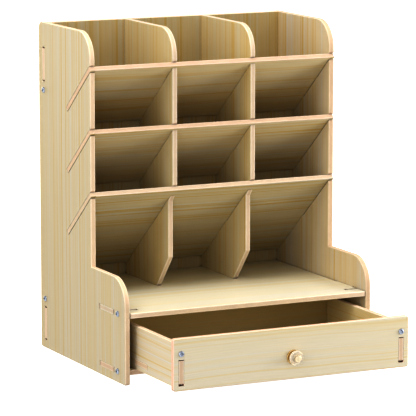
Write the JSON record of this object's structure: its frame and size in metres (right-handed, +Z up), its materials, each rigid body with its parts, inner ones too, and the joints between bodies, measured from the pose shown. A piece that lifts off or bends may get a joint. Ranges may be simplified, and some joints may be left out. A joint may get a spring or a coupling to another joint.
{
  "type": "desk organizer with drawer",
  "caption": "Upright wooden desk organizer with sloping open compartments between dividers, an open tray ledge and a sliding drawer with a round knob.",
  "frame": {"origin": "middle of the underside of the whole object's box, with the drawer drawn out as in the picture", "axes": "+Z up, -Y towards the front where the drawer opens, +X to the right as seen from the front"},
  "size_m": [0.2574, 0.2926, 0.315],
  "materials": {
    "film_faced_board": "pale wood-grain film on the faces, peach-coloured cut edges, satin",
    "brass": "polished",
    "clear_disc": "milky clear, glossy",
    "plated_steel": "bright zinc"
  },
  "bodies": {
    "carcass": {"left_side_panel": "film_faced_board", "right_side_panel": "film_faced_board", "back_panel": "film_faced_board", "inner_back_left": "film_faced_board", "inner_back_middle": "film_faced_board", "inner_back_right": "film_faced_board", "divider_left": "film_faced_board", "divider_right": "film_faced_board", "shelf_upper": "film_faced_board", "shelf_middle": "film_faced_board", "shelf_lower": "film_faced_board", "tray_board": "film_faced_board", "base_board": "film_faced_board", "back_panel_screws": "plated_steel", "tray_screws": "plated_steel", "base_screws": "plated_steel"},
    "drawer": {"drawer_front": "film_faced_board", "drawer_left_side": "film_faced_board", "drawer_right_side": "film_faced_board", "drawer_back": "film_faced_board", "drawer_bottom": "film_faced_board", "drawer_front_screws": "plated_steel", "drawer_back_screws": "plated_steel", "knob_base": "brass", "knob_disc": "clear_disc", "knob_cap": "brass", "knob_screw": "plated_steel"}
  },
  "joints": [
    {"name": "drawer_slide", "type": "slide", "parent": "carcass", "child": "drawer", "axis": [0, -1, 0], "range_m": [-0.086, 0.03]}
  ]
}
